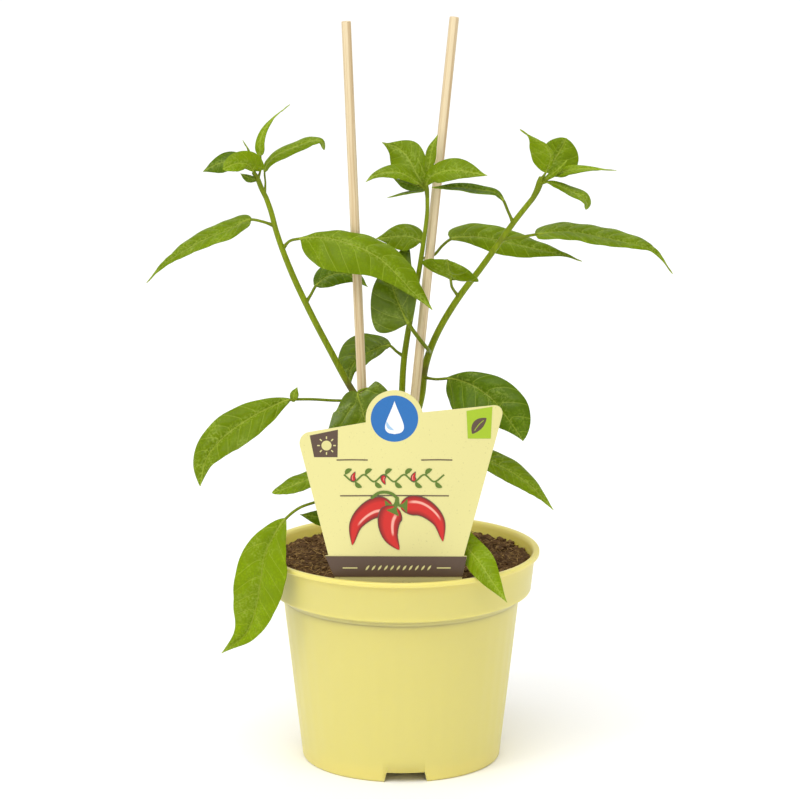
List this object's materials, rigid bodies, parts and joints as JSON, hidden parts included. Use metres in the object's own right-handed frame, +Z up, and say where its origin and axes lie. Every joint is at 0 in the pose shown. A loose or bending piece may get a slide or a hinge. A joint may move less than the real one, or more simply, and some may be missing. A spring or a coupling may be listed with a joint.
{
  "type": "potted chilli pepper plant",
  "caption": "Young chilli pepper plant with branching stems and pointed leaves in a round plastic nursery pot with soil, wooden stakes and a card label.",
  "frame": {"origin": "on the surface that the pot stands on, under the middle of the whole plant's outline", "axes": "+Z up along the pot's axis; -Y is the front, which the label faces; +X is to the right as seen from the front"},
  "size_m": [0.2256, 0.12, 0.3232],
  "materials": {
    "pot_plastic": "injection moulded, satin",
    "soil": "loose peat, rough and fibrous",
    "stem": "green stem skin, soft sheen",
    "leaf": "living leaf, soft waxy sheen",
    "stake_wood": "bare turned wood",
    "label_card": "coated, printed"
  },
  "bodies": {
    "root": {"pot": "pot_plastic", "soil": "soil", "stem": "stem", "stake_left": "stake_wood", "stake_right": "stake_wood", "label": "label_card", "leaf_left_out": "leaf", "leaf_left_over": "leaf", "leaf_left_inner": "leaf", "leaf_middle_back": "leaf", "leaf_middle_dark": "leaf", "leaf_middle_left": "leaf", "leaf_right_out": "leaf", "leaf_right_back": "leaf", "leaf_right_small": "leaf", "leaf_right_dark": "leaf", "leaf_right_low": "leaf", "leaf_left_low": "leaf", "leaf_centre_low": "leaf", "leaf_over_rim": "leaf", "leaf_left_small": "leaf", "leaf_left_dark": "leaf", "leaf_right_lower": "leaf", "leaf_right_rim": "leaf", "crown_left": "leaf", "crown_middle": "leaf", "crown_right": "leaf"}
  },
  "joints": []
}
